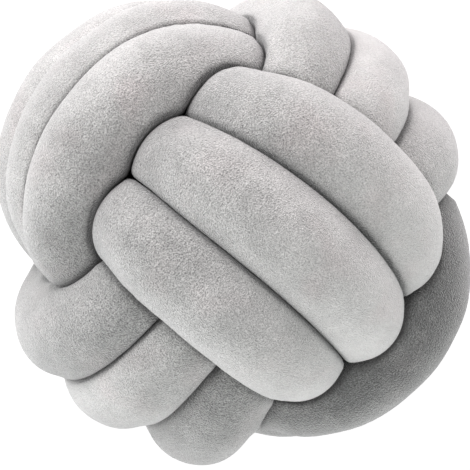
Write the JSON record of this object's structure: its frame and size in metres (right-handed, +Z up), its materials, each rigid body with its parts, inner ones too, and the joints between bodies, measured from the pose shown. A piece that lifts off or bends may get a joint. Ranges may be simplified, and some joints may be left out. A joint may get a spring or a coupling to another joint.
{
  "type": "knot cushion",
  "caption": "Ball-shaped cushion knotted from one long stuffed plush tube, its strands crossing over and under each other, flattened where it lies.",
  "frame": {"origin": "middle of the ball's bounding box, on the surface that it lies on", "axes": "+Z up, out of the face that the picture shows, with the ball lying on the opposite face; the strands of those two faces run along X"},
  "size_m": [0.2864, 0.2802, 0.268],
  "materials": {
    "plush": "light grey short-pile plush, matt with a soft sheen at grazing angles"
  },
  "bodies": {
    "root": {"knotted_tube": "plush"}
  },
  "joints": []
}
